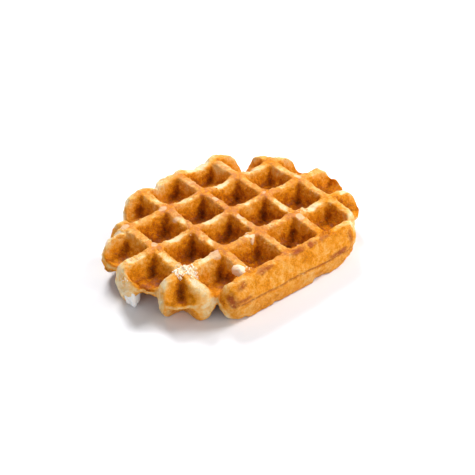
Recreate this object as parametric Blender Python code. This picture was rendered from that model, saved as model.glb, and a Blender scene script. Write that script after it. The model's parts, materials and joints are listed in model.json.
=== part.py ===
"""Belgian waffle of the Liege kind: one baked piece with deep pockets on both faces.

Frame: +Z up, origin at the centre of the base, X along the long axis of the oval.
The dough is a puffy blob with a lobe at each bar's end. Two plates of teeth press the
pockets into it, and the side wall of the iron leaves one straight flank at -Y.
Lengths are written in millimetres and scaled to metres by MM.
"""

from math import atan2, cos, hypot, pi, radians, sin, sqrt, tan

import bmesh
import bpy
from mathutils import Matrix, Vector

MM = 0.001

# The iron: spacing of the teeth, and the cavity between its two plates.
PITCH_X = 20.0 * MM
PITCH_Y = 18.9 * MM
HEIGHT = 20.0 * MM
WEB = 2.6 * MM
CREST = 3.0 * MM
DRAFT = radians(20.0)
HEEL = radians(7.0)
GRID_X = 0.9 * MM
GRID_Y = -0.6 * MM
COLUMNS = range(-3, 3)
ROWS = range(-2, 2)
CORNER = 2.2 * MM
FLARE = 0.7 * MM

# The straight flank that the iron's side leaves: the row of bars at -Y.
FLANK_Y = GRID_Y + min(ROWS) * PITCH_Y - CREST / 2
SEAM_Y = FLANK_Y - HEIGHT / 2 * tan(DRAFT)

# The dough: how far its free edge bulges, how much lower its top is at the rim and between the
# crossings, and how many pitches either way its faces are split, and into how many parts each.
BULGE = 4.4 * MM
OUTLINE_STEPS = 132
RIM_RINGS = 6
DOME = 1.6 * MM
SAG = 1.1 * MM
OVAL = 1.25
SPLITS = 2
SPREAD = 6
REACH = 58.0 * MM

# Lobes of dough at the ends of the bars, as (x, y, radius), anticlockwise from the flank's right end.
LOBES = [
    (31.6, -34.0, 8.7),
    (37.8, -27.6, 8.8),
    (46.3, -21.6, 9.0),
    (49.0, -7.6, 9.8),
    (48.4, -1.1, 9.8),
    (45.4, 6.9, 9.2),
    (43.8, 14.4, 9.4),
    (38.4, 20.0, 10.0),
    (24.2, 34.0, 9.4),
    (13.6, 33.2, 8.8),
    (5.1, 33.0, 10.6),
    (-3.9, 32.4, 10.6),
    (-20.2, 30.9, 11.4),
    (-38.8, 20.0, 7.8),
    (-46.7, 12.7, 8.4),
    (-50.4, -2.1, 8.4),
    (-43.0, -21.6, 8.7),
    (-37.2, -26.4, 8.2),
    (-25.1, -35.3, 8.5),
]

# The core of the dough: a polygon that joins the lobes and holds the notches between them.
CORE = [
    (-25.4, -50.6),
    (28.6, -50.6),
    (37.1, -27.6),
    (46.1, -22.1),
    (48.2, -0.1),
    (41.1, 14.9),
    (38.4, 19.7),
    (28.6, 21.4),
    (23.1, 33.9),
    (5.1, 32.4),
    (-21.9, 29.4),
    (-39.1, 20.7),
    (-47.4, 13.4),
    (-51.4, -2.6),
    (-52.2, -12.1),
    (-43.7, -21.6),
    (-37.2, -26.4),
    (-28.9, -27.1),
]

CRUST = (0.80, 0.45, 0.14, 1.0)
PARALLEL = 1e-9
ON_PLANE = 1e-6


def clear_scene():
    for item in list(bpy.data.objects):
        bpy.data.objects.remove(item, do_unlink=True)


def collection(name):
    made = bpy.data.collections.new(name)
    bpy.context.scene.collection.children.link(made)
    return made


def crust_material():
    material = bpy.data.materials.new("baked_crust")
    material.use_nodes = True
    shader = material.node_tree.nodes["Principled BSDF"]
    shader.inputs["Base Color"].default_value = CRUST
    shader.inputs["Roughness"].default_value = 0.55
    shader.inputs["Metallic"].default_value = 0.0
    return material


def object_from(bm, name, group):
    mesh = bpy.data.meshes.new(name)
    bmesh.ops.recalc_face_normals(bm, faces=bm.faces)
    bm.to_mesh(mesh)
    bm.free()
    made = bpy.data.objects.new(name, mesh)
    group.objects.link(made)
    return made


def disc_exit(direction, lobe):
    """How far along a ray from the origin the far side of a lobe's disc lies, or 0 if it misses."""
    x, y, radius = lobe
    along = direction[0] * x + direction[1] * y
    inside = along * along - (x * x + y * y - radius * radius)
    return along + sqrt(inside) if inside > 0 and along > 0 else 0.0


def edge_exit(direction, start, end):
    """How far along a ray from the origin an edge of the core lies, or 0 if it misses."""
    dx, dy = direction
    ex, ey = end[0] - start[0], end[1] - start[1]
    cross = dx * ey - dy * ex
    if abs(cross) < PARALLEL:
        return 0.0
    distance = (start[0] * ey - start[1] * ex) / cross
    share = (start[0] * dy - start[1] * dx) / cross
    return distance if 0.0 <= share <= 1.0 and distance > 0 else 0.0


def outline_radius(angle):
    """Radius of the dough's edge: the farthest of the core and of every lobe in that direction."""
    direction = (cos(angle), sin(angle))
    edges = zip(CORE, CORE[1:] + CORE[:1])
    reach = [edge_exit(direction, start, end) for start, end in edges]
    reach += [disc_exit(direction, lobe) for lobe in LOBES]
    return max(reach) * MM


def next_ring(bm, edges):
    """Extrudes a ring of edges. Returns the new ring's points and edges."""
    grown = bmesh.ops.extrude_edge_only(bm, edges=edges)["geom"]
    points = [item for item in grown if isinstance(item, bmesh.types.BMVert)]
    return points, [item for item in grown if isinstance(item, bmesh.types.BMEdge)]


def dough(group):
    """The blob of dough: the outline swept through a rounded rim and closed with a flat top and base."""
    angles = [2 * pi * step / OUTLINE_STEPS for step in range(OUTLINE_STEPS)]
    radii = [outline_radius(angle) for angle in angles]
    bm = bmesh.new()
    ring = bmesh.ops.create_circle(bm, segments=OUTLINE_STEPS, radius=1.0)["verts"]
    edges = list(bm.edges)
    for level in range(RIM_RINGS + 1):
        turn = pi * (level / RIM_RINGS - 0.5)
        inset = BULGE * (1 - cos(turn))
        z = HEIGHT / 2 * (1 + sin(turn))
        if level:
            ring, edges = next_ring(bm, edges)
        for step, vert in enumerate(ring):
            radius = radii[step] - inset
            vert.co = Vector((radius * cos(angles[step]), radius * sin(angles[step]), z))
    bmesh.ops.holes_fill(bm, edges=bm.edges, sides=0)
    return object_from(bm, "waffle_dough", group)


def tooth(x, y, side, group):
    """One tooth of a plate: a tapered post with rounded corners, and a flare that softens the crests.

    side is 1 for the upper plate and -1 for the lower one.
    """
    depth = (HEIGHT - WEB) / 2
    levels = [
        (0.0, -depth * tan(DRAFT)),
        (depth - FLARE, -FLARE * tan(DRAFT)),
        (depth + FLARE, FLARE),
    ]
    sizes = [((PITCH_X - CREST) / 2 + widen, (PITCH_Y - CREST) / 2 + widen) for _, widen in levels]
    bm = bmesh.new()
    bmesh.ops.create_grid(bm, x_segments=1, y_segments=1, size=1.0)
    bmesh.ops.scale(bm, vec=(*sizes[0], 1.0), verts=bm.verts)
    bmesh.ops.translate(bm, vec=(0.0, 0.0, WEB / 2), verts=bm.verts)
    bmesh.ops.bevel(bm, geom=list(bm.verts), offset=CORNER, segments=2, profile=0.5, affect="VERTICES")
    edges = list(bm.edges)
    for step in (1, 2):
        ring, edges = next_ring(bm, edges)
        rise = levels[step][0] - levels[step - 1][0]
        bmesh.ops.translate(bm, vec=(0.0, 0.0, rise), verts=ring)
        wider = [now / before for now, before in zip(sizes[step], sizes[step - 1])]
        bmesh.ops.scale(bm, vec=(*wider, 1.0), verts=ring)
    bmesh.ops.edgeloop_fill(bm, edges=edges)
    bmesh.ops.scale(bm, vec=(1.0, 1.0, side), verts=bm.verts)
    bmesh.ops.translate(bm, vec=(x, y, HEIGHT / 2), verts=bm.verts)
    return object_from(bm, "tooth", group)


def flank_cutter(side, lean, group):
    """A block beyond the flank. Its face passes through the seam and leans inwards above or below it."""
    bm = bmesh.new()
    bmesh.ops.create_cube(bm, size=1.0)
    bmesh.ops.scale(bm, vec=(4 * REACH, REACH, REACH), verts=bm.verts)
    bmesh.ops.translate(bm, vec=(0.0, -REACH / 2, 0.0), verts=bm.verts)
    bmesh.ops.rotate(bm, cent=(0.0, 0.0, 0.0), matrix=Matrix.Rotation(-side * lean, 3, "X"), verts=bm.verts)
    bmesh.ops.translate(bm, vec=(0.0, SEAM_Y, HEIGHT / 2), verts=bm.verts)
    return object_from(bm, "iron_side", group)


def is_needed(x, y):
    """True if a tooth at this place meets the dough."""
    reach = outline_radius(atan2(y, x))
    return hypot(x, y) - hypot(PITCH_X, PITCH_Y) / 2 < reach


def plates(group):
    """The teeth of both plates, over the whole dough."""
    for column in COLUMNS:
        for row in ROWS:
            x = GRID_X + (column + 0.5) * PITCH_X
            y = GRID_Y + (row + 0.5) * PITCH_Y
            if is_needed(x, y):
                tooth(x, y, 1, group)
                tooth(x, y, -1, group)


def cut_with(blob, name, cutter):
    """Adds a Boolean that takes one object, or all those of a collection, out of the blob."""
    cut = blob.modifiers.new(name, "BOOLEAN")
    cut.operation = "DIFFERENCE"
    cut.solver = "EXACT"
    if isinstance(cutter, bpy.types.Collection):
        cut.operand_type = "COLLECTION"
        cut.collection = cutter
    else:
        cut.object = cutter


def press(blob):
    """Presses the dough in the iron: its sides first, then its teeth. Returns the finished mesh."""
    sides = collection("iron_sides")
    teeth = collection("iron_teeth")
    plates(teeth)
    cut_with(blob, "upper_flank", flank_cutter(1, DRAFT, sides))
    cut_with(blob, "lower_flank", flank_cutter(-1, HEEL, sides))
    cut_with(blob, "pockets", teeth)
    for group in (sides, teeth):
        group.hide_render = True
        for tool in group.objects:
            tool.hide_render = True
            tool.display_type = "WIRE"
    bpy.context.view_layer.update()
    graph = bpy.context.evaluated_depsgraph_get()
    return bpy.data.meshes.new_from_object(blob.evaluated_get(graph))


def split_bars(bm):
    """Splits the faces along the bars at every part of a pitch, so that they can bend."""
    for step in range(-SPREAD * SPLITS, SPREAD * SPLITS + 1):
        for axis, start, pitch in ((0, GRID_X, PITCH_X), (1, GRID_Y, PITCH_Y)):
            at = Vector((0.0, 0.0, 0.0))
            at[axis] = start + step * pitch / SPLITS
            normal = Vector((0.0, 0.0, 0.0))
            normal[axis] = 1.0
            geometry = list(bm.verts) + list(bm.edges) + list(bm.faces)
            bmesh.ops.bisect_plane(bm, geom=geometry, dist=ON_PLANE, plane_co=at, plane_no=normal)


def sag_at(x, y):
    """How far a crest lies below its crossings: the dough shrinks from the iron between them."""
    across = sin(pi * (x - GRID_X) / PITCH_X) ** 2
    along = sin(pi * (y - GRID_Y) / PITCH_Y) ** 2
    return SAG * max(across, along)


def settle(mesh):
    """Lowers the top a little towards the rim and between the crossings. The base stays flat."""
    bm = bmesh.new()
    bm.from_mesh(mesh)
    split_bars(bm)
    for vert in bm.verts:
        above = max(0.0, vert.co.z / HEIGHT * 2 - 1)
        out = hypot(vert.co.x, vert.co.y * OVAL) / REACH
        vert.co.z -= above * (DOME * out * out + sag_at(vert.co.x, vert.co.y))
    bmesh.ops.triangulate(bm, faces=bm.faces)
    bm.to_mesh(mesh)
    bm.free()


def main():
    clear_scene()
    food = collection("belgian_waffle")
    blob = dough(food)
    mesh = press(blob)
    bpy.data.objects.remove(blob, do_unlink=True)
    settle(mesh)
    mesh.name = "waffle"
    mesh.materials.clear()
    mesh.materials.append(crust_material())
    food.objects.link(bpy.data.objects.new("waffle", mesh))


main()
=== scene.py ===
# %% [markdown]
# # A Liege waffle
#
# A Liege waffle is a lump of rich yeast dough, full of pearl sugar, pressed between two hot plates
# of teeth. Where the dough meets iron it browns and its sugar turns to caramel. Where it only swells
# into the air it stays pale and puffy. This lesson builds both from one idea: the shape is the dough
# minus the iron, and the colour is how close each bit of crust lay to the iron.
#
# The part's solid comes first. It is the fixed frame that every piece here has to fit.

# %% Load the frame
import json

import bmesh
import bpy
import numpy as np
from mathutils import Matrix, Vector


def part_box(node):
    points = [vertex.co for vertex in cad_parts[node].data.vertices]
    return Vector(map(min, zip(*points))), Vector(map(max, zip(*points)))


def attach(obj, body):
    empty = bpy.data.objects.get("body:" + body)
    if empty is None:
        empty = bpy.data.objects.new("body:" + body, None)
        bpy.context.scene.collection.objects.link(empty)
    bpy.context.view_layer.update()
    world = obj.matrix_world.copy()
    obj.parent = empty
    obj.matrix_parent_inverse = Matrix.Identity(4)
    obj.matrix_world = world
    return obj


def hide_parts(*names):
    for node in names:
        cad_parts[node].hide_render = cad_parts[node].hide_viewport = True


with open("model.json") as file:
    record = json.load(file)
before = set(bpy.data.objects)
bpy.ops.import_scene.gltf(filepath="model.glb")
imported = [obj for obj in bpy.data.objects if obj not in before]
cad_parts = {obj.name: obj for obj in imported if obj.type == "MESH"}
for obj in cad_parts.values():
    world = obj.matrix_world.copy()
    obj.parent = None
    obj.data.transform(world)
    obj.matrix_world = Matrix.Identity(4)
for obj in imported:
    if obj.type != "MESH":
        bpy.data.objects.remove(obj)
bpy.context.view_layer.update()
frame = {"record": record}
waffle_low, waffle_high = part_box("waffle")
print("frame box in mm:", [round(1000 * v, 1) for v in (*waffle_low, *waffle_high)])

# %% [markdown]
# ## The iron's grid
#
# The record states the free space in each pocket as a box. The middles of those boxes give the
# spacing of the teeth and where the bars run, so the grid here is the frame's own and not a guess.
# Everything is worked out in millimetres and turned into metres at the end.

# %% Read the grid from the pockets
MM = 0.001
pocket_boxes = np.array([o["box_m"] for o in frame["record"]["physics"]["openings"]]) / MM
pocket_middles = pocket_boxes.mean(axis=1)


def spacing(values):
    """Pitch of a row of middles: the smallest step between two different ones."""
    steps = np.diff(np.unique(np.round(values, 2)))
    return float(steps[steps > 1.0].min())


PITCH = np.array([spacing(pocket_middles[:, 0]), spacing(pocket_middles[:, 1])])
BAR_X = float(pocket_middles[0, 0] - PITCH[0] / 2) % PITCH[0]
BAR_Y = float(pocket_middles[0, 1] - PITCH[1] / 2) % PITCH[1] - PITCH[1]
HEIGHT = (waffle_high.z - waffle_low.z) / MM
MIDDLE = HEIGHT / 2
print("pitch", PITCH, "a bar at", round(BAR_X, 2), round(BAR_Y, 2), "height", round(HEIGHT, 2))

# %% [markdown]
# ## Noise
#
# Baking is uneven at every size: a slow swell over the whole piece, ragged crests, and grains of
# sugar. One function gives all of them. It is value noise: random numbers on a lattice, blended
# with a smooth curve in between. A small hash makes the random numbers, so it needs no stored table
# and gives the same waffle each time.

# %% Noise on whole arrays
def lattice_value(ix, iy, iz, seed):
    """A random number from -1 to 1 for each lattice point, from an integer hash of its place."""
    h = ix * 374761393 + iy * 668265263 + iz * 1274126177 + seed * 1442695041
    h = (h ^ (h >> 13)) * 1274126177
    h = (h ^ (h >> 16)) & 0xFFFFFF
    return h.astype(np.float32) / 8388607.5 - 1.0


def noise(x, y, z, size, seed):
    """Value noise from -1 to 1: the eight lattice values round a point, blended by s*s*(3 - 2*s)."""
    parts = [np.asarray(v, np.float32) / size for v in (x, y, z)]
    cells = [np.floor(p).astype(np.int64) for p in parts]
    fades = [(p - c) * (p - c) * (3 - 2 * (p - c)) for p, c in zip(parts, cells)]
    total = 0.0
    for corner in range(8):
        steps = [(corner >> axis) & 1 for axis in range(3)]
        weight = 1.0
        for fade, step in zip(fades, steps):
            weight = weight * (fade if step else 1 - fade)
        total = total + weight * lattice_value(*[c + s for c, s in zip(cells, steps)], seed)
    return total.astype(np.float32)


def smooth_max(a, b, radius):
    """The larger of two, with the corner between them rounded over about that radius."""
    blend = np.clip(radius - np.abs(a - b), 0, None) / radius
    return np.maximum(a, b) + blend * blend * radius / 4


def smooth_min(a, b, radius):
    """The smaller of two, rounded in the same way."""
    return -smooth_max(-a, -b, radius)


def fade_in(value, start, end):
    """0 below start, 1 above end, and a smooth curve between."""
    t = np.clip((value - start) / (end - start), 0, 1)
    return t * t * (3 - 2 * t)


print("noise of a few points", np.round(noise([0.5, 3.2], [1.0, 2.0], [0.0, 0.4], 2.0, 1), 3))

# %% [markdown]
# ## The outline of the dough
#
# Dough runs out along the channels of the iron and stops as a round lobe at the end of each bar,
# with a notch between two lobes. A list of discs is the plain way to say that. A many-sided core
# joins them, and the distance to the nearest of all these shapes gives the edge everywhere at once.
# A lobe is its middle and its radius. The core runs past the flank, because the iron cuts it there.

# %% Lobes and core
LOBES = np.array([
    (31.6, -34.0, 8.7), (37.8, -27.6, 8.8), (46.3, -21.6, 9.0), (49.0, -7.6, 9.8), (48.4, -1.1, 9.8),
    (45.4, 6.9, 9.2), (43.8, 14.4, 9.4), (38.4, 20.0, 10.0), (24.2, 34.0, 9.4), (13.6, 33.2, 8.8),
    (5.1, 33.0, 10.6), (-3.9, 32.4, 10.6), (-20.2, 30.9, 11.4), (-38.8, 20.0, 7.8), (-46.7, 12.7, 8.4),
    (-50.4, -2.1, 8.4), (-43.0, -21.6, 8.7), (-37.2, -26.4, 8.2), (-25.1, -35.3, 8.5),
])
CORE = np.array([
    (-25.4, -50.6), (28.6, -50.6), (37.1, -27.6), (46.1, -22.1), (48.2, -0.1), (41.1, 14.9),
    (38.4, 19.7), (28.6, 21.4), (23.1, 33.9), (5.1, 32.4), (-21.9, 29.4), (-39.1, 20.7),
    (-47.4, 13.4), (-51.4, -2.6), (-52.2, -12.1), (-43.7, -21.6), (-37.2, -26.4), (-28.9, -27.1),
])
NOTCH_ROUND = 0.9


def core_distance(x, y):
    """Distance to the core's edge, negative inside: nearest side, with the sign from its winding."""
    nearest = np.full(np.shape(x), np.inf, np.float32)
    inside = np.zeros(np.shape(x), bool)
    for (ax, ay), (bx, by) in zip(CORE, np.roll(CORE, -1, axis=0)):
        ex, ey = bx - ax, by - ay
        share = np.clip(((x - ax) * ex + (y - ay) * ey) / (ex * ex + ey * ey), 0, 1)
        nearest = np.minimum(nearest, np.hypot(x - ax - share * ex, y - ay - share * ey))
        crosses = (ay > y) != (by > y)
        inside ^= crosses & (x < ax + (y - ay) * ex / (ey if ey else 1.0))
    return np.where(inside, -nearest, nearest)


def edge_distance(x, y):
    """Distance to the edge of the dough, negative inside: the nearest of the core and every lobe."""
    distance = core_distance(x, y)
    for lobe_x, lobe_y, radius in LOBES:
        distance = smooth_min(distance, np.hypot(x - lobe_x, y - lobe_y) - radius, NOTCH_ROUND)
    return distance


middle_to_edge = -edge_distance(np.zeros(1), np.zeros(1))[0]
print("the middle lies", round(float(middle_to_edge), 1), "mm from the edge")

# %% [markdown]
# ## The iron
#
# A tooth is a tapered block with round corners. All teeth are the same, so one formula on the
# distance from the middle of a cell covers them all. The iron also has a flat face between the
# teeth, which makes the crests, and a side, which makes the one straight flank of this waffle.
# Every function below gives a distance: positive inside the metal, negative in the cavity.

# %% Teeth of the iron
WEB = 2.6
CREST = 2.8
DRAFT = np.tan(np.radians(20.0))
TOOTH_CORNER = 1.7
FLOOR_ROUND = 2.4
COLUMNS = (-3, 2)
ROWS = (-2, 1)
DEPTH = (HEIGHT - WEB) / 2


def cell_place(x, y):
    """Place inside a cell, from its middle, and which cell it is."""
    u, v = (x - BAR_X) / PITCH[0], (y - BAR_Y) / PITCH[1]
    column, row = np.floor(u), np.floor(v)
    return (u - column - 0.5) * PITCH[0], (v - row - 0.5) * PITCH[1], column, row


def tooth_sides(x, y, z):
    """How far a point lies outside a tooth's two pairs of sides, at its own height."""
    dx, dy, column, row = cell_place(x, y)
    widen = (np.abs(z - MIDDLE) - HEIGHT / 2) * DRAFT
    out_x = np.abs(dx) - (PITCH[0] - CREST) / 2 - widen
    out_y = np.abs(dy) - (PITCH[1] - CREST) / 2 - widen
    there = (column >= COLUMNS[0]) & (column <= COLUMNS[1]) & (row >= ROWS[0]) & (row <= ROWS[1])
    return out_x, out_y, there


def in_teeth(x, y, z):
    """Distance into the teeth: a rectangle with round corners that tapers, ended by a rounded tip."""
    out_x, out_y, there = tooth_sides(x, y, z)
    qx, qy = out_x + TOOTH_CORNER, out_y + TOOTH_CORNER
    around = np.hypot(np.maximum(qx, 0), np.maximum(qy, 0)) + np.minimum(np.maximum(qx, qy), 0)
    around = (around - TOOTH_CORNER) * np.cos(np.arctan(DRAFT))
    tip = WEB / 2 - np.abs(z - MIDDLE)
    return np.where(there, -smooth_max(around, tip, FLOOR_ROUND), -HEIGHT)


print("pocket depth", round(DEPTH, 2), "at a draft of", round(float(DRAFT), 3))

# %% [markdown]
# ## The side of the iron
#
# Both plates end in a leaning side, and dough that gets that far is pressed flat against it. The
# two sides meet in a joint, which leaves a thin groove along the flank. The upper side leans as the
# teeth do, and the lower one stands steeper.

# %% Side of the iron and its seam
HEEL = np.tan(np.radians(7.0))
FLANK_WALL = 1.5
FLANK_Y = BAR_Y + ROWS[0] * PITCH[1] - FLANK_WALL
SEAM_Y = FLANK_Y - MIDDLE * DRAFT
SEAM_DROP = 0.8
SEAM_LEAN = 0.035
SEAM_WIDTH = 0.55


def seam_height(x):
    """Height of the joint of the two plates: a line that leans and wavers."""
    wave = 0.5 * noise(x, 0 * x, 0 * x, 9.0, 21) + 0.15 * noise(x, 0 * x, 0 * x, 2.0, 22)
    return MIDDLE - SEAM_DROP - SEAM_LEAN * x + wave


def in_side(x, y, z):
    """Distance into the side of the iron: two planes that meet at the seam."""
    lean = np.where(z > seam_height(x), DRAFT, HEEL)
    face = SEAM_Y + np.abs(z - seam_height(x)) * lean
    return (face - y) / np.sqrt(1 + lean * lean)


def seam_line(x, z):
    """1 on the line that the joint leaves along the flank, and 0 away from it."""
    return np.exp(-(((z - seam_height(x)) / SEAM_WIDTH) ** 2))


print("flank at y", round(FLANK_Y, 2), "and its seam at y", round(float(SEAM_Y), 2))

# %% [markdown]
# ## Crests that hang
#
# The dough follows the iron at the crossings, where most of it is. Between them it hangs a little
# lower, because it shrinks as it cools. Each stretch of bar has its own slack: in the first table a
# row is a bar along X, and in the second a bar along Y, and the places in it are the cells it
# passes. The base does the same the other way up, but less, because it lies on the table.

# %% Slack of the bars
SAG = 1.35
BASE_SAG = 0.35
SLACK_ALONG_X = np.array([
    (0.3, 0.3, 0.1, 0.1, 0.1, 0.4, 0.3),
    (0.5, 0.5, 0.2, 0.3, 1.1, 0.6, 0.3),
    (0.6, 0.9, 0.9, 0.6, 0.6, 0.5, 0.4),
    (0.5, 0.5, 0.6, 1.0, 0.8, 0.5, 0.4),
    (0.4, 0.4, 0.4, 1.2, 0.4, 0.4, 0.4),
])
SLACK_ALONG_Y = np.array([
    (0.5, 0.5, 0.5, 0.5, 0.5),
    (0.8, 0.7, 0.2, 0.4, 0.4),
    (0.2, 0.8, 0.5, 0.4, 0.4),
    (0.2, 0.4, 0.3, 0.1, 0.2),
    (0.2, 0.8, 0.4, 0.1, 0.2),
    (0.3, 0.2, 0.5, 0.3, 0.3),
    (0.4, 0.4, 0.4, 0.4, 0.4),
])


def slack(table, bar, cell):
    """The slack of a stretch: from the nearest bar's row of the table, and the cell's place in it."""
    lower = np.clip(np.floor(bar), 0, len(table) - 2).astype(int)
    share = fade_in(bar - lower, 0.3, 0.7)
    place = np.clip(np.floor(cell), 0, table.shape[1] - 1).astype(int)
    return table[lower, place] * (1 - share) + table[lower + 1, place] * share


def crest_sag(x, y):
    """How far the crest hangs below the iron: most in the middle of a stretch of bar."""
    u, v = (x - BAR_X) / PITCH[0] - COLUMNS[0], (y - BAR_Y) / PITCH[1] - ROWS[0]
    on_x = slack(SLACK_ALONG_X, v, u) * np.sin(np.pi * u) ** 2
    on_y = slack(SLACK_ALONG_Y, u, v) * np.sin(np.pi * v) ** 2
    ragged = 1 + 0.35 * noise(x, y, 0 * x, 5.0, 12) + 0.25 * noise(x, y, 0 * x, 2.2, 13)
    return SAG * np.maximum(on_x, on_y) * ragged


def base_sag(x, y):
    """How far the crests below stand off the table: as above, but with noise in place of a table."""
    u, v = (x - BAR_X) / PITCH[0], (y - BAR_Y) / PITCH[1]
    across = np.maximum(np.sin(np.pi * u) ** 2, np.sin(np.pi * v) ** 2)
    return BASE_SAG * across * np.clip(1 + 1.2 * noise(x, y, 0 * x, 15.0, 14), 0.1, 2.2)


print("largest slack", round(SAG * max(SLACK_ALONG_X.max(), SLACK_ALONG_Y.max()), 2), "mm")

# %% [markdown]
# ## The dough
#
# Free dough swells into a round rim, half an ellipse in section. The top falls a little towards it.

# %% Dough as a distance
BULGE = 4.4
DOME = 1.5
REACH = 58.0
OVAL = 1.25


def dome(x, y):
    """How much lower the top lies towards the rim."""
    out = np.hypot(x, OVAL * y) / REACH
    return DOME * out * out


def past_dough(x, y, z):
    """Distance outside the dough: its rim is a half ellipse carried round the outline."""
    top = HEIGHT - dome(x, y) - crest_sag(x, y)
    base = base_sag(x, y)
    half = np.where(z > MIDDLE, top - MIDDLE, MIDDLE - base)
    out = np.maximum(edge_distance(x, y) + BULGE, 0) / BULGE
    up = (z - MIDDLE) / half
    length = np.sqrt(out * out + up * up + 1e-6)
    steep = np.sqrt((out / BULGE) ** 2 + (up / half) ** 2 + 1e-9) / length
    return (length - 1) / np.maximum(steep, 1 / half)


corner_distance = past_dough(*[np.array([v]) for v in (waffle_high.x / MM, waffle_high.y / MM, HEIGHT)])
print("the box's corner lies", round(float(corner_distance[0]), 1), "mm outside the dough")

# %% [markdown]
# ## The skin of the crust
#
# Iron leaves a fairly even skin, and dough that swelled free is bumpier. When the plates part, the
# crust tears in a few places and shows its crumb. Each torn place is two bar numbers, a height and a
# size in millimetres.

# %% Torn places and relief
TORN = [
    (-2.03, -0.98, 18.0, 3.0),
    (-1.86, -1.14, 18.0, 2.6),
    (-2.00, -0.80, 19.0, 1.6),
    (-2.93, -0.22, 9.0, 3.4),
    (0.62, 2.06, 17.5, 3.8),
    (0.30, -0.98, 19.0, 2.0),
    (1.30, -0.98, 19.0, 2.2),
    (-2.60, 0.02, 18.0, 2.2),
    (2.05, 0.10, 18.5, 1.8),
    (-1.95, -1.85, 9.0, 3.6),
]


def torn(x, y, z):
    """1 in places where the crust tore as the iron opened, and 0 elsewhere."""
    most = 0 * x
    for u, v, height, size in TORN:
        dx, dy = x - BAR_X - u * PITCH[0], y - BAR_Y - v * PITCH[1]
        away = np.sqrt(dx * dx + dy * dy + (z - height) ** 2) / size
        most = np.maximum(most, 1 - fade_in(away + 0.3 * noise(x, y, z, 1.8, 36), 0.5, 1.2))
    return most


def relief(x, y, z, free):
    """Uneven skin: slow dents, blisters, which are larger on dough that swelled free, and torn crumb."""
    slow = 0.15 * noise(x, y, z, 6.5, 31)
    blister = 0.14 * noise(x, y, z, 2.4, 32) + 0.17 * noise(x, y, z, 1.2, 33)
    free = free + 0.6 * fade_in(z, HEIGHT - 3.5, HEIGHT - 1.5)
    crumbly = 0.42 * noise(x, y, z, 1.5, 37) + 0.30 * noise(x, y, z, 0.95, 38)
    puffy = 0.3 * free * noise(x, y, z, 3.6, 34)
    return slow + blister * (1 + 0.9 * free) + puffy + torn(x, y, z) * crumbly


print("torn places:", len(TORN))

# %% [markdown]
# ## Dough minus iron
#
# The larger of two distances is what both shapes share, so the larger of the dough's and the
# iron's leaves the dough that the iron didn't press away. A smooth larger rounds the edges where
# they meet, and more so where a crest hangs. A slow shift of x and y first keeps the bars from
# running dead straight.

# %% The whole shape
WARP = 0.35
WARP_SIZE = 11.0
SEAM_GROOVE = 0.7
FOOT_RAGGED = 1.7
SIDE_ROUND = 1.2
CREST_ROUND = 0.35
HANGING_ROUND = 0.8


def outside_waffle(x, y, z):
    """The whole shape: negative inside the waffle, zero on its crust."""
    wx = x + WARP * noise(x, y, z, WARP_SIZE, 41)
    wy = y + WARP * noise(x, y, z, WARP_SIZE, 42)
    foot = FOOT_RAGGED * np.maximum(noise(x, 0 * x, 0 * x, 4.5, 35), 0) * fade_in(z, 4.0, 0.5)
    iron = in_side(wx, wy, z) + SEAM_GROOVE * seam_line(x, z) + foot
    body = smooth_max(past_dough(wx, wy, z), iron, SIDE_ROUND)
    teeth = in_teeth(wx, wy, z)
    free = fade_in(-np.maximum(teeth, iron), 0.4, 1.6) * fade_in(edge_distance(wx, wy), -3.5, -1.5)
    soft = CREST_ROUND + HANGING_ROUND * crest_sag(x, y)
    return smooth_max(body, teeth, soft) + relief(x, y, z, free)


cell_x, cell_y = BAR_X + PITCH[0] / 2, BAR_Y + PITCH[1] / 2
web_distance = outside_waffle(*[np.array([v]) for v in (cell_x, cell_y, MIDDLE)])
print("the middle of a web lies", round(-float(web_distance[0]), 2), "mm under its skin")

# %% [markdown]
# ## From a distance to a skin
#
# The rim of this waffle rolls under itself and has notches, webs and pockets on both faces, so no
# single sheet over two parameters can cover it without a torn seam. A surface net can: it fills a
# box with a lattice, finds the cells where the distance changes its sign, puts one point in each,
# and joins the points of four neighbouring cells round each edge that the skin crosses. It is all
# array work, it closes by itself, and its faces are even in size, which baking and bump maps like.

# %% The distance on a lattice
LATTICE_STEP = 0.51
LATTICE_EDGE = 1.5
FILL = -0.03
ABOVE_TABLE = 0.02


def sample(spacing):
    """The distance on a lattice that holds the whole waffle, and the lattice's first corner."""
    low = np.array([v / MM for v in waffle_low]) - LATTICE_EDGE
    high = np.array([v / MM for v in waffle_high]) + LATTICE_EDGE
    axes = [np.arange(a, b, spacing) for a, b in zip(low, high)]
    x, y, z = np.meshgrid(*axes, indexing="ij")
    return outside_waffle(x, y, z), low


def part_sheets(field):
    """Keeps two sheets of skin from meeting on one edge, by filling squares with signs in a checker.

    A square of four lattice points whose diagonals differ in sign would give an edge with four faces.
    """
    for _ in range(6):
        for first, second in ((0, 1), (1, 2), (0, 2)):
            square = []
            for corner in range(4):
                cut = [slice(None)] * 3
                cut[first] = slice(1, None) if corner & 1 else slice(None, -1)
                cut[second] = slice(1, None) if corner & 2 else slice(None, -1)
                square.append(field[tuple(cut)])
            a, b, c, d = [part < 0 for part in square]
            checker = (a == d) & (b == c) & (a != b)
            for part in square:
                part[checker] = np.minimum(part[checker], FILL)
    return field


field, lattice_low = sample(LATTICE_STEP)
field = part_sheets(field)
print("lattice", field.shape, "with", round(float((field < 0).mean()), 2), "of it inside")

# %% [markdown]
# ## The net itself
#
# Each crossed cell gets one point, at the mean of the places where its twelve edges cross the skin.
# Each lattice edge that crosses gives a quad between the four cells round it, turned so that it
# faces out.

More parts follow.
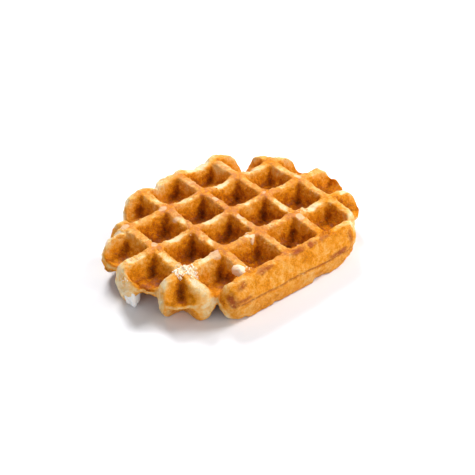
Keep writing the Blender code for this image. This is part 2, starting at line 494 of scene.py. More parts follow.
# %% Points and quads of the net
def surface_net(field, low, spacing):
    """Points and quads of the skin where the field changes sign, one point in each cell it crosses."""
    inside = field < 0
    size = np.array(field.shape) - 1
    shift = [tuple((c >> a) & 1 for a in range(3)) for c in range(8)]
    part = [tuple(slice(s, s + n) for s, n in zip(steps, size)) for steps in shift]
    count = sum(inside[p].astype(np.int8) for p in part)
    crossed = (count > 0) & (count < 8)
    corner = [field[p][crossed] for p in part]
    total = np.zeros((3, int(crossed.sum())))
    hits = np.zeros(total.shape[1])
    for first in range(8):
        for axis in range(3):
            if shift[first][axis]:
                continue
            a, b = corner[first], corner[first | (1 << axis)]
            cut = (a < 0) != (b < 0)
            share = np.where(cut, a / np.where(cut, a - b, 1), 0)
            for k in range(3):
                total[k] += cut * (share if k == axis else shift[first][k])
            hits += cut
    points = low + spacing * (np.argwhere(crossed) + (total / hits).T)
    number = np.full(size, -1)
    number[crossed] = np.arange(total.shape[1])
    quads = []
    for axis in range(3):
        turned = np.moveaxis(inside, [axis, (axis + 1) % 3, (axis + 2) % 3], [0, 1, 2])
        cell = np.moveaxis(number, [axis, (axis + 1) % 3, (axis + 2) % 3], [0, 1, 2])
        here, there = turned[:-1, 1:-1, 1:-1], turned[1:, 1:-1, 1:-1]
        ring = np.stack([cell[:, :-1, :-1], cell[:, 1:, :-1], cell[:, 1:, 1:], cell[:, :-1, 1:]], -1)
        quads.append(ring[here & ~there])
        quads.append(ring[~here & there][:, ::-1])
    return points, np.concatenate(quads)


skin_points, skin_quads = surface_net(field, lattice_low, LATTICE_STEP)
print("raw net:", len(skin_points), "points")

# %% [markdown]
# ## Settling the net
#
# Such a net has small steps. Moving each point to the mean of its neighbours evens them out but
# shrinks the shape, so each point then walks back down the slope of the distance to the true skin.

# %% Even points on the true skin
def slope_at(points, step=0.12):
    """Direction in which the distance grows, from two samples on each axis."""
    slope = np.empty_like(points)
    for axis in range(3):
        ahead, behind = points.copy(), points.copy()
        ahead[:, axis] += step
        behind[:, axis] -= step
        slope[:, axis] = (outside_waffle(*ahead.T) - outside_waffle(*behind.T)) / (2 * step)
    return slope


def stepped(points, limit):
    """Points after one Newton step onto the skin, no longer than the limit, and the slope there."""
    slope = slope_at(points)
    steep = np.maximum((slope * slope).sum(axis=1), 0.2)
    step = slope * (outside_waffle(*points.T) / steep)[:, None]
    return points - np.clip(step, -limit, limit), slope


def relaxed(points, quads):
    """Each point moved to the mean of its neighbours along the quads' sides."""
    starts, ends = quads.ravel(), np.roll(quads, -1, axis=1).ravel()
    ties = np.bincount(starts, minlength=len(points)) + np.bincount(ends, minlength=len(points))
    mean = np.zeros((3, len(points)))
    for here, there in ((starts, ends), (ends, starts)):
        mean += [np.bincount(here, points[there, k], len(points)) for k in range(3)]
    return (mean / ties).T


def settled(points, quads):
    """The net evened out, then put back on the true skin by a Newton step down the slope."""
    points = relaxed(points, quads)
    for _ in range(2):
        points, _ = stepped(points, 0.5)
    points[:, 2] = np.maximum(points[:, 2], ABOVE_TABLE)
    return points


skin_points = settled(skin_points, skin_quads)
quad_sides = np.stack([skin_quads, np.roll(skin_quads, -1, axis=1)], -1).reshape(-1, 2)
_, shared = np.unique(np.sort(quad_sides, axis=1), axis=0, return_counts=True)
print("crust:", 2 * len(skin_quads), "triangles,", (shared != 2).sum(), "edges not shared by two quads")

# %% [markdown]
# ## How near the iron each spot lay
#
# The same distances say how near the iron each spot of crust lay. Iron browns it, air leaves it
# pale. So nearly all of the colour follows from the shape, with nothing painted by hand.

# %% Nearness to the iron
def iron_gap(x, y, z):
    """Distance from the nearest metal: the face, a tooth, or the side of the iron."""
    below_face = HEIGHT - dome(x, y) - z
    above_face = z
    gap = np.minimum(np.minimum(below_face, above_face), -in_teeth(x, y, z))
    return np.maximum(np.minimum(gap, -in_side(x, y, z)), 0)


def corner_depth(x, y, z):
    """1 along the upright corners of a pocket, falling off over a few millimetres to 0."""
    out_x, out_y, there = tooth_sides(x, y, z)
    return np.where(there, np.exp(np.minimum(np.minimum(out_x, out_y) + TOOTH_CORNER * 0.4, 0) / 1.1), 0)


def flank_curl(x, y, z):
    """1 where the iron's side curls round the ends of the straight flank, and 0 elsewhere."""
    ragged = 0.9 * noise(x, y, z, 3.0, 54)
    left = x + 35.0 - 0.05 * (z - 12) ** 2 + ragged
    right = 36.5 - x + ragged
    return fade_in(left, 0, 1.6) * fade_in(right, 0, 1.6) * fade_in(-34.0 - y + ragged, 0, 2.0)


skin_gap = iron_gap(*skin_points.T)
print("share of the crust near the iron:", round(float((skin_gap < 0.5).mean()), 2))

# %% [markdown]
# ## Patches
#
# Some marks belong to one spot of this waffle: scorches on the flank, smears of melted sugar on the
# crests, whose pale pink is partly a painted highlight, and darker patches on some pocket floors,
# which are painted shade. Each is a soft patch with a ragged edge. Those on the grid are placed by
# bar numbers, which may be fractions, so they stay with their bar.

# %% Scorches, sugar smears with a painted highlight, and painted shade in pockets
def grid_place(u, v, z):
    """A place from bar numbers, which may be fractions, and a height in millimetres."""
    return BAR_X + u * PITCH[0], BAR_Y + v * PITCH[1], z


def patch(x, y, z, middle, size, seed):
    """A soft ragged patch round a place: 1 at its middle and 0 at its edge."""
    away = np.sqrt(((x - middle[0]) / size[0]) ** 2 + ((y - middle[1]) / size[1]) ** 2
                   + ((z - middle[2]) / size[2]) ** 2)
    return 1 - fade_in(away + 0.45 * noise(x, y, z, 2.2, seed), 0.35, 1.1)


SCORCHES = [
    ((-31.5, -41.0, 12.5), (2.4, 3.5, 3.2)),
    ((-26.0, -41.5, 12.0), (7.0, 3.5, 1.2)),
    ((-26.5, -40.0, 17.0), (3.0, 3.0, 1.6)),
    ((4.0, -39.5, 19.3), (4.6, 2.5, 1.9)),
    ((20.5, -39.0, 19.1), (4.2, 2.5, 1.9)),
    ((33.5, -41.0, 12.5), (2.2, 4.0, 4.6)),
    ((26.0, -43.0, 10.0), (7.5, 3.0, 1.2)),
    ((12.3, -39.5, 19.0), (3.2, 2.5, 1.5)),
    ((-13.0, -40.0, 18.6), (4.5, 2.5, 1.1)),
]
# Smears of melted sugar on the crests; their pale pink colour is also a painted highlight.
GLAZE_HIGHLIGHTS = [
    (-1.20, -0.98, 3.0), (-1.97, 0.10, 2.2), (-2.06, 1.04, 2.4), (-1.08, 1.05, 2.2), (0.04, -0.31, 2.6),
    (1.03, -1.20, 2.6), (0.02, 0.62, 2.0), (-1.04, 0.55, 2.2), (0.98, 0.06, 1.8), (2.02, 0.03, 2.0),
]
# Darker patches on some pocket floors: painted shade.
POCKET_SHADE_PATCHES = [
    ((-2.62, -0.55, 11.5), 4.2), ((-2.35, -0.70, 11.5), 3.0), ((-1.30, -1.45, 11.5), 4.4),
    ((-1.60, -1.75, 14.0), 3.4), ((-2.30, -1.45, 12.0), 3.0), ((0.35, -1.45, 11.5), 3.6),
]


def pocket_painted_shade(x, y, z):
    """1 on the floors of some pockets, which are painted darker as shade, and 0 elsewhere."""
    most = 0 * x
    for place, size in POCKET_SHADE_PATCHES:
        most = np.maximum(most, patch(x, y, z, grid_place(*place), (size, size, 0.8 * size), 81))
    return most


def sugar_smear_and_highlight(x, y, z):
    """1 on thin smears of melted sugar along the crests, whose pale pink also paints in their glints as
    a painted highlight, and 0 elsewhere.
    """
    most = 0 * x
    for u, v, size in GLAZE_HIGHLIGHTS:
        most = np.maximum(most, patch(x, y, z, grid_place(u, v, HEIGHT - 1), (size, size, 2.2), 80))
    return most


print("patches:", len(SCORCHES) + len(GLAZE_HIGHLIGHTS) + len(POCKET_SHADE_PATCHES))

# %% [markdown]
# ## The baking itself
#
# A pocket is browner at its floor and in its corners, partly from the iron and partly as painted
# shade in those recesses, and a crest only where it filled the channel right up. The thin outer edge
# of a lobe stays paler, partly since it parts from the iron first, and a band along the rim is paler
# as dough that swelled free; both are also a painted highlight where light glows through the thin
# rims. These measures go on the mesh as named attributes for the material to read.

# %% Baking measures at every point
CREST_BAKE = 0.34
# The floor and corner amounts darken the pockets' depths: browning, and painted shade in those recesses.
FLOOR_BAKE_AND_SHADE = 0.42
CORNER_BAKE_AND_SHADE = 0.30
FLANK_BAKE = 0.43
# The rim and its thin outer edge turn paler: dough that swelled free, and a painted highlight for light
# glowing through the rims.
RIM_PALE_AND_GLOW = 0.21
BRINK_PALE_AND_GLOW = 0.8


def baking(points, gap):
    """Attributes of the crust, each from 0 to 1: the bake, with painted shade in the pockets and a
    painted highlight at the rim, then crest, scorch, sugar, with a painted highlight on the crests, and
    contact.
    """
    x, y, z = points.T
    slow = noise(x, y, z, 8.0, 51)
    fine = noise(x, y, z, 2.3, 52)
    grain = noise(x, y, z, 1.0, 53)
    rim = edge_distance(x, y)
    contact = 1 - fade_in(gap + 0.28 * fine + 0.14 * grain, 0.30, 1.0)
    # Paler thin outer edge of the upper rim: free dough, and a painted highlight of the backlit rims.
    pale_brink_and_glow = fade_in(rim + 0.9 * fine, -5.0, -1.2) * fade_in(z, MIDDLE, HEIGHT - 5)
    contact = np.maximum(contact * (1 - BRINK_PALE_AND_GLOW * pale_brink_and_glow), flank_curl(x, y, z))
    contact = contact * (1 - 0.9 * torn(x, y, z))
    height = np.clip((np.abs(z - MIDDLE) - WEB / 2) / DEPTH, 0, 1)
    crest = contact * fade_in(height, 0.82, 0.97)
    # Darker into the pockets' corners: browning and painted shade.
    corner = CORNER_BAKE_AND_SHADE * corner_depth(x, y, z) * (1 - 0.55 * height)
    # Darker towards each pocket's floor, browning and painted shade; paler towards the rim, pale dough
    # and painted highlight.
    bake = CREST_BAKE + FLOOR_BAKE_AND_SHADE * (1 - height) + corner - RIM_PALE_AND_GLOW * fade_in(rim, -8.0, -2.0)
    flank = FLANK_BAKE + 0.07 * fade_in(x, -5.0, 25.0) * fade_in(z, 9.0, 18.0)
    bake = np.where(y < FLANK_Y + 1.0, flank, bake) + 0.09 * slow + 0.10 * fine + 0.08 * grain
    # Painted shade on some pocket floors.
    bake = bake + 0.30 * pocket_painted_shade(x, y, z)
    low = 1 - fade_in(z, HEIGHT - 5.5, HEIGHT - 3.0)
    glow = 0.06 * np.exp(-gap / 0.6) + low * 0.26 * np.exp(-gap / 2.0)
    patchy = np.maximum(slow, 0) + np.maximum(fine, 0)
    free = 0.02 + glow + (0.04 + 0.14 * low) * patchy + 0.12 * low * grain
    bake = np.clip(free + (bake - free) * contact, 0, 1)
    scorch = 0 * x
    for number, (middle, size) in enumerate(SCORCHES):
        scorch = np.maximum(scorch, patch(x, y, z, middle, size, 60 + number))
    seam = seam_line(x, z) * fade_in(-in_side(x, y, z), 1.8, 1.2)
    scorch = np.clip(scorch + 0.9 * seam, 0, 1)
    # The sugar mark is melted sugar plus a painted highlight on the crests.
    sugar = sugar_smear_and_highlight(x, y, z)
    return {"bake": bake, "crest": crest, "scorch": scorch, "sugar": sugar, "contact": contact}


skin_marks = baking(skin_points, skin_gap)
for mark, values in skin_marks.items():
    print(mark, "mean", round(float(values.mean()), 2), "largest", round(float(values.max()), 2))

# %% [markdown]
# ## The crust as a mesh
#
# The points go into a mesh in one call each. A surface net spends as many faces on a plain flank as
# on a ragged crest, so a Decimate modifier then thins it to a fixed number of triangles, which it
# takes from the plain parts first.

# %% Make the crust
CRUST_TRIANGLES = 190000


def mesh_object(name, points, faces, marks=None):
    """A mesh object from points in millimetres and faces, smooth, with a named value at each point."""
    mesh = bpy.data.meshes.new(name)
    faces = np.asarray(faces)
    mesh.vertices.add(len(points))
    mesh.vertices.foreach_set("co", (np.asarray(points) * MM).astype(np.float32).ravel())
    mesh.loops.add(faces.size)
    mesh.loops.foreach_set("vertex_index", faces.astype(np.int32).ravel())
    mesh.polygons.add(len(faces))
    mesh.polygons.foreach_set("loop_start", np.arange(0, faces.size, faces.shape[1], dtype=np.int32))
    mesh.update(calc_edges=True)
    mesh.validate()
    for mark, values in (marks or {}).items():
        layer = mesh.attributes.new(mark, "FLOAT", "POINT")
        layer.data.foreach_set("value", np.asarray(values, np.float32))
    mesh.shade_smooth()
    made = bpy.data.objects.new(name, mesh)
    bpy.context.scene.collection.objects.link(made)
    return made


def apply_modifiers(made):
    """Replaces an object's mesh by what its modifiers make of it."""
    graph = bpy.context.evaluated_depsgraph_get()
    mesh = bpy.data.meshes.new_from_object(made.evaluated_get(graph), depsgraph=graph)
    made.modifiers.clear()
    old, made.data = made.data, mesh
    bpy.data.meshes.remove(old)


crust = mesh_object("waffle_crust", skin_points, skin_quads, skin_marks)
if 2 * len(skin_quads) > CRUST_TRIANGLES:
    thin = crust.modifiers.new("thin", "DECIMATE")
    thin.ratio = CRUST_TRIANGLES / (2 * len(skin_quads))
    apply_modifiers(crust)
    crust.data.name = "waffle_crust"
print("crust mesh:", len(crust.data.vertices), "points,", len(crust.data.polygons), "faces")

# %% [markdown]
# ## Shader maths in plain expressions
#
# A material is sums on sockets. Wiring Math nodes by hand hides the sum, so one small class wraps a
# socket, and + - * / on it add the nodes. Anything that isn't a sum comes from its node method.

# %% A wire that can be added and multiplied
class Wire:
    """A socket of a node tree. An expression on wires adds the Math nodes that work it out."""

    def __init__(self, tree, socket=None):
        self.tree = tree
        self.socket = socket

    def node(self, kind, settings=None, inputs=None, output=0):
        """Adds a node: its settings first, then its inputs, as values or as wires."""
        made = self.tree.nodes.new(kind)
        for name, value in (settings or {}).items():
            if name == "stops":
                self.set_stops(made.color_ramp, value)
            else:
                setattr(made, name, value)
        for name, value in (inputs or {}).items():
            if isinstance(value, Wire):
                self.tree.links.new(value.socket, made.inputs[name])
            else:
                made.inputs[name].default_value = value
        return Wire(self.tree, made.outputs[output])

    @staticmethod
    def set_stops(ramp, stops):
        """Gives a colour ramp its stops, each a place and a colour."""
        while len(ramp.elements) < len(stops):
            ramp.elements.new(0.5)
        for element, (place, colour) in zip(ramp.elements, stops):
            element.position = place
            element.color = (*colour, 1.0)

    def math(self, operation, *values):
        return self.node("ShaderNodeMath", {"operation": operation}, dict(enumerate(values)))

    def __add__(self, other):
        return self.math("ADD", self, other)

    __radd__ = __add__

    def __sub__(self, other):
        return self.math("SUBTRACT", self, other)

    def __rsub__(self, other):
        return self.math("SUBTRACT", other, self)

    def __mul__(self, other):
        return self.math("MULTIPLY", self, other)

    __rmul__ = __mul__

    def __truediv__(self, other):
        return self.math("DIVIDE", self, other)

    def __rtruediv__(self, other):
        return self.math("DIVIDE", other, self)

    def __pow__(self, other):
        return self.math("POWER", self, other)

    def between(self, start, end):
        """0 below start, 1 above end, with a smooth curve between."""
        return self.node(
            "ShaderNodeMapRange",
            {"interpolation_type": "SMOOTHSTEP"},
            {"Value": self, "From Min": start, "From Max": end},
        )

    def ramp(self, stops):
        return self.node("ShaderNodeValToRGB", {"stops": stops}, {"Fac": self})

    def towards(self, colour, share):
        """This colour mixed towards another one by a share, which may be a wire."""
        return self.node("ShaderNodeMix", {"data_type": "RGBA"}, {0: share, 6: self, 7: colour}, 2)


def new_material(name):
    """An empty material: its shader node, and a wire to build from."""
    made = bpy.data.materials.new(name)
    made.use_nodes = True
    tree = made.node_tree
    shader = next(n for n in tree.nodes if n.type == "BSDF_PRINCIPLED")
    return made, shader, Wire(tree)


def feed(shader, **values):
    """Puts values or wires into a shader's sockets. Base_Color stands for the socket Base Color."""
    for name, value in values.items():
        socket = shader.inputs[name.replace("_", " ")]
        if isinstance(value, Wire):
            value.tree.links.new(value.socket, socket)
        else:
            socket.default_value = value


print("wire ready")

# %% [markdown]
# ## The crust's finish
#
# One ramp goes from raw cream through gold and orange to the deep brown of a pocket's corner, and
# the bake measure, which holds painted shade and painted highlight as well as browning, picks the
# place on it. Crests take a rosy tan, because the sugar there melted on bare iron, and scorches a dark
# red brown. Smears of sugar on the crests turn pale pink, which also paints in their glints as a
# painted highlight. Grain of several sizes breaks every field up. The crust is a little glossy where
# it met the iron, and light passes a millimetre or two into it, which makes the thin rims glow.

# %% Baked crust
BAKE_STOPS = [
    (0.00, (0.96, 0.79, 0.54)),
    (0.14, (0.95, 0.63, 0.27)),
    (0.32, (0.93, 0.44, 0.09)),
    (0.50, (0.84, 0.288, 0.004)),
    (0.70, (0.52, 0.126, 0.001)),
    (1.00, (0.15, 0.022, 0.0005)),
]
CREST_TAN = (0.66, 0.238, 0.085, 1.0)
# Pale pink of the sugar smears, which also stands in for their glints: painted highlight.
SMEAR_HIGHLIGHT_PINK = (0.93, 0.63, 0.40, 1.0)
SPECK_GOLD = (0.96, 0.58, 0.13, 1.0)
SCORCH_BROWN = (0.36, 0.062, 0.015, 1.0)


def grain(wire, place, size, detail=3.0, roughness=0.55):
    """Noise of a given grain size in millimetres, from 0 to 1."""
    return wire.node(
        "ShaderNodeTexNoise",
        {"noise_dimensions": "3D"},
        {"Vector": place, "Scale": 1 / (size * MM), "Detail": detail, "Roughness": roughness},
    )


def attribute(wire, name):
    """The value that the mesh carries at each point under this name."""
    return wire.node("ShaderNodeAttribute", {"attribute_name": name}, output=2)


def bumpy(wire, height, distance, strength=1.0):
    """A normal bent by a height, which stands for a distance in millimetres."""
    values = {"Strength": strength, "Distance": distance * MM, "Height": height}
    return wire.node("ShaderNodeBump", None, values)


def crust_material():
    """The crust: colour from the baking measures, with grain in colour, gloss and bump."""
    made, shader, wire = new_material("baked_crust")
    place = wire.node("ShaderNodeTexCoord", output=3)
    mark = {name: attribute(wire, name) for name in skin_marks}
    slow = grain(wire, place, 5.0)
    mottle = grain(wire, place, 1.7, 4.0, 0.6)
    fine = grain(wire, place, 0.7, 4.0, 0.65)
    spread = 0.5 + mark["contact"] * 0.5
    bake = mark["bake"] + (slow - 0.5) * 0.16 + (mottle.between(0.32, 0.68) - 0.5) * 0.17 * spread
    bake = bake + (fine.between(0.34, 0.66) - 0.5) * 0.14 * spread
    colour = bake.ramp(BAKE_STOPS)
    crest = mark["crest"] * mottle.between(0.30, 0.62)
    colour = colour.towards(CREST_TAN, crest * 0.75)
    scorch = mark["scorch"] * mottle.between(0.22, 0.50)
    colour = colour.towards(SCORCH_BROWN, scorch * 0.85)
    # Pale pink smears of sugar on the crests, partly a painted highlight.
    smear_highlight = (mark["sugar"] * 1.3 + (mottle - 0.5) * 0.9).between(0.35, 0.75)
    colour = colour.towards(SMEAR_HIGHLIGHT_PINK, smear_highlight * 0.7)
    speck = fine.between(0.58, 0.72) * mark["contact"]
    colour = colour.towards(SPECK_GOLD, speck * 0.45)
    height = mottle * 0.6 + fine * 0.7 + grain(wire, place, 0.3, 2.0) * 0.3
    feed(
        shader,
        Base_Color=colour,
        Roughness=0.62 - mark["contact"] * 0.14 + (fine - 0.5) * 0.25,
        Coat_Weight=mark["contact"] * mottle.between(0.42, 0.62) * 0.12,
        Coat_Roughness=0.35,
        Normal=bumpy(wire, height, 1.5),
        Subsurface_Weight=0.12,
        Subsurface_Radius=(1.0, 0.42, 0.14),
        Subsurface_Scale=2.2 * MM,
        Specular_IOR_Level=0.05,
    )
    return made


crust.data.materials.clear()
crust.data.materials.append(crust_material())
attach(crust, "root")
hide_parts("waffle")
print("crust material nodes:", len(crust.data.materials[0].node_tree.nodes))

# %% [markdown]
# ## Pearl sugar
#
# Pearl sugar is pressed into hard white lumps that don't melt in the short bake. A few come through
# the crust. Each is a rounded block with knocks in it, sunk until only its top and corners show. The
# skin is found by walking down the distance from a place near it, so a lump never floats. A lump is
# its place, its size, its turn, and how far syrup soaked into it.

# %% Lumps of pearl sugar
def on_skin(points):
    """Points moved onto the crust, and the direction out of it there."""
    points = np.array(points, float)
    for _ in range(4):
        points, slope = stepped(points, 1.5)
    return points, slope / np.linalg.norm(slope, axis=1)[:, None]


def ball_ways(rings, around):
    """Directions from a ball's middle: sin(polar) * (cos, sin) of the angle round, and cos(polar)."""
    polar = np.linspace(0, np.pi, rings)[:, None]
    angle = np.arange(around) * 2 * np.pi / around
    way = [np.sin(polar) * np.cos(angle), np.sin(polar) * np.sin(angle), np.cos(polar) + 0 * angle]
    return np.stack(way, -1)


def ball_faces(rings, around):
    """Quads of a ball of rings of points, whose first and last rings each shrink to one pole."""
    ring, step = np.meshgrid(np.arange(rings - 1), np.arange(around), indexing="ij")
    a, b = ring * around + step, ring * around + (step + 1) % around
    return np.stack([a, b, b + around, a + around], -1).reshape(-1, 4)


def block(size, turn, seed, power=4.0):
    """A knocked block: |x/a|^p + |y/b|^p + |z/c|^p = 1, with noise on its radius, turned about Z."""
    way = ball_ways(LUMP_RINGS, LUMP_AROUND)
    radius = (np.abs(way / (np.array(size) / 2)) ** power).sum(axis=-1) ** (-1 / power)
    x, y, z = (way * radius[..., None]).reshape(-1, 3).T
    knock = 1 + 0.18 * noise(x, y, z, 2.2, seed) + 0.08 * noise(x, y, z, 0.9, seed + 1)
    c, s = np.cos(turn), np.sin(turn)
    return np.stack([(c * x - s * y), (s * x + c * y), z], -1) * knock[:, None]


def joined(shapes):
    """One set of points and quads from several."""
    starts = np.cumsum([0] + [len(points) for points, _ in shapes[:-1]])
    faces = [faces + start for (_, faces), start in zip(shapes, starts)]
    return np.concatenate([points for points, _ in shapes]), np.concatenate(faces)


def weld(made, distance):
    """Joins the points that share a place, which closes the poles."""
    shape = bmesh.new()
    shape.from_mesh(made.data)
    bmesh.ops.remove_doubles(shape, verts=shape.verts, dist=distance)
    bmesh.ops.recalc_face_normals(shape, faces=shape.faces)
    shape.to_mesh(made.data)
    shape.free()


SUGAR_LUMPS = [
    ((-0.24, -1.09, 18.2), (5.0, 4.6, 4.6), 0.5, 0.75),
    ((-1.06, -1.70, 18.4), (3.8, 7.6, 4.0), 0.1, 0.62),
    ((-2.94, -0.33, 4.8), (4.6, 6.0, 8.0), 0.3, 0.12),
]
SUNK = 0.46
LUMP_RINGS, LUMP_AROUND = 21, 30
LUMP_WELD = 0.02 * MM


def pearl_sugar():
    """All the lumps, each sunk into the crust at its own place."""
    places, ways = on_skin([grid_place(*place) for place, _, _, _ in SUGAR_LUMPS])
    shapes = []
    for number, (place, way, (_, size, turn, _)) in enumerate(zip(places, ways, SUGAR_LUMPS)):
        points = block(size, turn, 70 + 2 * number) + place - SUNK * min(size) * way
        shapes.append((points, ball_faces(LUMP_RINGS, LUMP_AROUND)))
    soaked = np.repeat([lump[3] for lump in SUGAR_LUMPS], LUMP_RINGS * LUMP_AROUND)
    made = mesh_object("pearl_sugar", *joined(shapes), {"soaked": soaked})
    weld(made, LUMP_WELD)
    return made


SUGAR_STOPS = [(0.10, (0.84, 0.84, 0.85)), (0.45, (0.84, 0.68, 0.52)), (0.80, (0.82, 0.50, 0.26))]


def sugar_material():
    """White sugar, faintly clear and warm where syrup soaked in."""
    made, shader, wire = new_material("pearl_sugar")
    place = wire.node("ShaderNodeTexCoord", output=3)
    soaked = attribute(wire, "soaked") + (grain(wire, place, 2.6) - 0.5) * 0.9
    fine = grain(wire, place, 0.5, 3.0)
    feed(
        shader,
        Base_Color=soaked.ramp(SUGAR_STOPS),
        Roughness=0.35 + fine * 0.3,
        Normal=bumpy(wire, fine, 0.4, 0.7),
        Subsurface_Weight=0.4,
        Subsurface_Radius=(1.0, 0.8, 0.7),
        Subsurface_Scale=1.5 * MM,
    )
    return made


sugar = pearl_sugar()
sugar.data.materials.append(sugar_material())
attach(sugar, "root")
print("sugar faces:", len(sugar.data.polygons))

# %% [markdown]
# ## Crumbs
#
# When the plates open, thin flashes of crust tear off along the crests and stay as crumbs. They are
# one joined mesh of small uneven grains. Some lie where a crest meets a pocket, and the places that
# tore have clusters of paler ones. A cluster is its place in bar numbers, its reach to each side,
# how many crumbs it has, and their tone.

# %% Crumbs along the crests
CRUMBS = 200
PROUD = 0.35
CLUSTER_DEPTH = 8
CRUMB_RINGS, CRUMB_AROUND = 5, 6
CRUMB_SIZE, LARGEST_CRUMB = 0.21, 0.42
CRUMB_WELD = 0.001 * MM
CRUMB_STOPS = [(0.0, (0.94, 0.86, 0.74)), (0.12, (0.95, 0.76, 0.52)), *BAKE_STOPS[2:]]
CLUSTERS = [
    ((-2.02, -1.00), (3.2, 2.6), 260, 0.06),
    ((-1.86, -1.12), (2.4, 3.2), 200, 0.06),
    ((-2.55, 0.02), (4.0, 1.4), 26, 0.25),
    ((0.30, -0.98), (3.6, 1.2), 30, 0.35),
    ((1.28, -0.98), (4.0, 1.4), 34, 0.30),
    ((-2.93, -0.22), (1.6, 2.4), 24, 0.15),
    ((-0.92, -1.80), (2.4, 2.0), 22, 0.15),
]


def crumb_places(rng):
    """Places on the crust near crest edges, then the clusters, with a tone for each crumb."""
    x, y, z = skin_points.T
    out_x, out_y, there = tooth_sides(x, y, z)
    edge = there & (np.abs(np.maximum(out_x, out_y)) < 0.8) & (z > HEIGHT - 2.6)
    chosen = skin_points[rng.choice(np.flatnonzero(edge), CRUMBS)]
    tones = [rng.uniform(0.22, 0.52, CRUMBS)]
    places = [chosen]
    for (u, v), spread, number, tone in CLUSTERS:
        middle = np.array(grid_place(u, v, HEIGHT - 1))
        reach = (np.abs(skin_points[:, :2] - middle[:2]) < spread).all(axis=1)
        near = np.flatnonzero(reach & (z > HEIGHT - CLUSTER_DEPTH))
        places.append(skin_points[rng.choice(near, number)])
        tones.append(np.clip(rng.normal(tone, 0.08, number), 0, 1))
    return np.concatenate(places), np.concatenate(tones)


def crumbs():
    """Every crumb as a small ball, stretched, turned and knocked at random."""
    rng = np.random.default_rng(8)
    places, tones = crumb_places(rng)
    places, ways = on_skin(places)
    ball = ball_ways(CRUMB_RINGS, CRUMB_AROUND).reshape(-1, 3)
    count = len(places)
    size = np.minimum(rng.lognormal(np.log(CRUMB_SIZE), 0.35, (count, 1)), LARGEST_CRUMB)
    size = size * rng.uniform(0.8, 1.25, (count, 3))
    turn, _ = np.linalg.qr(rng.normal(size=(count, 3, 3)))
    turn *= np.sign(np.linalg.det(turn))[:, None, None]
    knock = 1 + 0.22 * rng.uniform(-1, 1, (count, len(ball), 1))
    knock[:, :CRUMB_AROUND] = knock[:, :1]
    knock[:, -CRUMB_AROUND:] = knock[:, -1:]
    points = np.einsum("nij,nkj->nki", turn, ball[None] * knock * size[:, None, :])
    points += (places + 0.05 * ways)[:, None, :]
    points[..., 2] = np.clip(points[..., 2], ABOVE_TABLE, HEIGHT + PROUD)
    faces = ball_faces(CRUMB_RINGS, CRUMB_AROUND)[None] + (np.arange(count) * len(ball))[:, None, None]
    marks = {"tone": np.repeat(tones, len(ball))}
    made = mesh_object("crumbs", points.reshape(-1, 3), faces.reshape(-1, 4), marks)
    weld(made, CRUMB_WELD)
    return made


def crumb_material():
    """Crumbs run from cream to the brown of the crust, by a tone that each carries."""
    made, shader, wire = new_material("crumb")
    place = wire.node("ShaderNodeTexCoord", output=3)
    tone = attribute(wire, "tone")
    speck = grain(wire, place, 0.4)
    feed(
        shader,
        Base_Color=(tone + (speck - 0.5) * 0.25).ramp(CRUMB_STOPS),
        Roughness=0.6,
        Specular_IOR_Level=0.15,
        Subsurface_Weight=0.15,
        Subsurface_Radius=(1.0, 0.42, 0.14),
        Subsurface_Scale=1.0 * MM,
    )
    return made


loose = crumbs()
loose.data.materials.append(crumb_material())
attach(loose, "root")
print("crumb faces:", len(loose.data.polygons))

# %% [markdown]
# ## Floor
#
# The waffle lies on a plain sheet of white paper, a little blue as bright paper is. It is nearly
# two metres wide, so it fills the whole view from above.

# %% Floor
FLOOR_HALF = 900
FLOOR_POINTS = 9
PAPER_STOPS = [(0.3, (0.84, 0.85, 0.89)), (0.7, (0.85, 0.86, 0.90))]


def floor_sheet():
    """A wide flat sheet, a grid of two parameters, at the height of the waffle's base."""
    line = np.linspace(-FLOOR_HALF, FLOOR_HALF, FLOOR_POINTS)
    x, y = np.meshgrid(line, line, indexing="ij")
    points = np.stack([x, y, 0 * x], -1).reshape(-1, 3)
    step = np.arange(FLOOR_POINTS - 1)
    corner = (step[:, None] * FLOOR_POINTS + step).ravel()
    faces = [corner, corner + FLOOR_POINTS, corner + FLOOR_POINTS + 1, corner + 1]
    return mesh_object("floor", points, np.stack(faces, -1))


floor = floor_sheet()
floor_material, floor_shader, floor_wire = new_material("white_sheet")
floor_place = floor_wire.node("ShaderNodeTexCoord", output=3)
feed(
    floor_shader,
    Base_Color=grain(floor_wire, floor_place, 40.0).ramp(PAPER_STOPS),
    Roughness=0.6,
    Specular_IOR_Level=0.2,
)
floor.data.materials.append(floor_material)
print("floor faces:", len(floor.data.polygons))

# %% [markdown]
# ## Light
#
# A small soft panel at the right gives the flank and the pockets their shape, and a stronger one
# behind makes the rims glow and throws the shadow forward. Two wide panels, in front and at the
# left, and a dim white surround fill the pockets, so that their floors stay brown, not black.

# %% Lights
TARGET_X, TARGET_Y = -9.5, -17.8
AIM = Vector((TARGET_X * MM, TARGET_Y * MM, MIDDLE * MM))


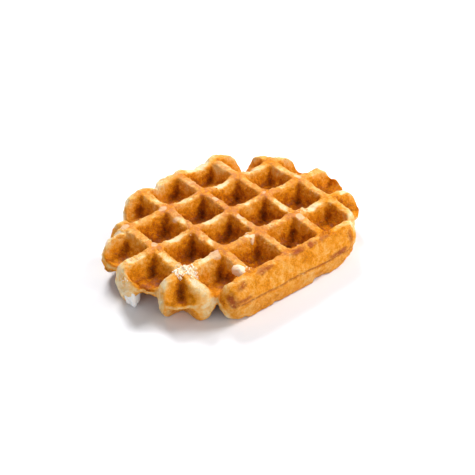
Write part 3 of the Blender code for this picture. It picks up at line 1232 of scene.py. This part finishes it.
def outwards(azimuth, elevation):
    """A direction away from the waffle. Azimuth 0 is in front, at -Y, and 90 is at +X."""
    turn, rise = np.radians(azimuth), np.radians(elevation)
    return Vector((np.sin(turn) * np.cos(rise), -np.cos(turn) * np.cos(rise), np.sin(rise)))


def panel(name, azimuth, elevation, distance, size, power, colour=(1, 1, 1)):
    """A square soft light that looks at the waffle."""
    away = outwards(azimuth, elevation)
    light = bpy.data.lights.new(name, "AREA")
    light.size = size
    light.energy = power
    light.color = colour
    made = bpy.data.objects.new(name, light)
    made.location = AIM + distance * away
    made.rotation_euler = away.to_track_quat("Z", "Y").to_euler()
    bpy.context.scene.collection.objects.link(made)


panel("key_right", 68, 42, 0.8, 0.28, 5.5)
panel("back_high", 160, 45, 0.8, 0.3, 6.4)
panel("fill_front", 10, 24, 1.1, 1.2, 6.4, (1.0, 0.97, 0.94))
panel("fill_left", -70, 30, 1.0, 0.9, 2.5, (1.0, 0.965, 0.93))

world = bpy.data.worlds.new("white_surround")
world.use_nodes = True
world.node_tree.nodes["Background"].inputs["Color"].default_value = (1.0, 0.985, 0.97, 1.0)
world.node_tree.nodes["Background"].inputs["Strength"].default_value = 0.20
bpy.context.scene.world = world
bpy.context.scene.view_settings.view_transform = "Standard"

# %% [markdown]
# ## Camera
#
# The view is over the near corner, from a little higher than a diner's, so that both the pockets
# and the straight flank show. A long lens keeps the bars nearly parallel.

# %% Camera
CAMERA_AZIMUTH = -39.74
CAMERA_ELEVATION = 37.18
CAMERA_DISTANCE = 0.3927
CAMERA_LENS = 72.0


def camera():
    """A camera that looks down on the near corner of the waffle."""
    away = outwards(CAMERA_AZIMUTH, CAMERA_ELEVATION)
    view = bpy.data.cameras.new("camera")
    view.lens = CAMERA_LENS
    view.sensor_width = 36.0
    view.clip_start = 0.01
    made = bpy.data.objects.new("camera", view)
    made.location = Vector((TARGET_X * MM, TARGET_Y * MM, HEIGHT * MM)) + CAMERA_DISTANCE * away
    made.rotation_euler = away.to_track_quat("Z", "Y").to_euler()
    bpy.context.scene.collection.objects.link(made)
    bpy.context.scene.camera = made


camera()
print("camera at", [round(v, 3) for v in bpy.context.scene.camera.location])
